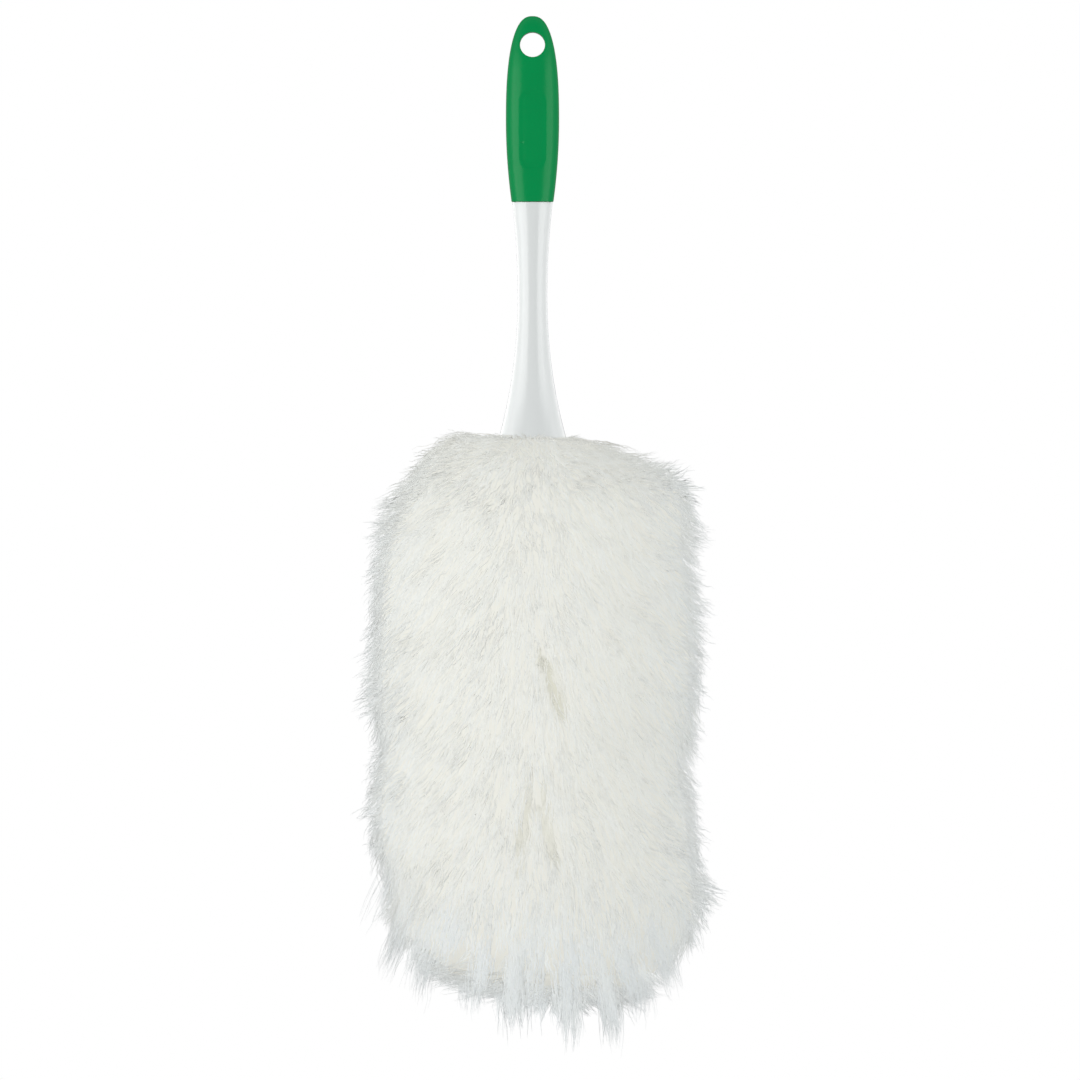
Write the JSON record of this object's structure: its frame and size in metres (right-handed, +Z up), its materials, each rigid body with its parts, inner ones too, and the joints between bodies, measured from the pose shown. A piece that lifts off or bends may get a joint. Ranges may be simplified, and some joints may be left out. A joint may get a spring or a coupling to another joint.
{
  "type": "lambswool duster",
  "caption": "Hand duster with a soft shaggy wool head on a slim white moulded handle, and a green rubber grip with a hanging hole.",
  "frame": {"origin": "middle of the hanging hole in the grip", "axes": "+Z up the handle as it hangs, the front of the grip faces -Y, and +Y runs along the hanging hole toward the wall"},
  "size_m": [0.2048, 0.1904, 0.6119],
  "materials": {
    "green_rubber": "satin moulded thermoplastic rubber",
    "white_plastic": "glossy moulded polypropylene",
    "beech": "plain turned beech, unvarnished",
    "steel": "bright zinc plated",
    "sheepskin": "tanned skin, flesh side matt",
    "wool": "combed undyed lambswool, soft and matt"
  },
  "bodies": {
    "root": {"grip_sleeve": "green_rubber", "handle_body": "white_plastic", "core_dowel": "beech", "core_screw": "steel", "hide_strip": "sheepskin", "upper_tack_1": "steel", "upper_tack_2": "steel", "lower_tack_1": "steel", "lower_tack_2": "steel", "tip_disc": "sheepskin", "tip_nail": "steel", "wool_pile": "wool", "tip_tuft": "wool"}
  },
  "joints": []
}
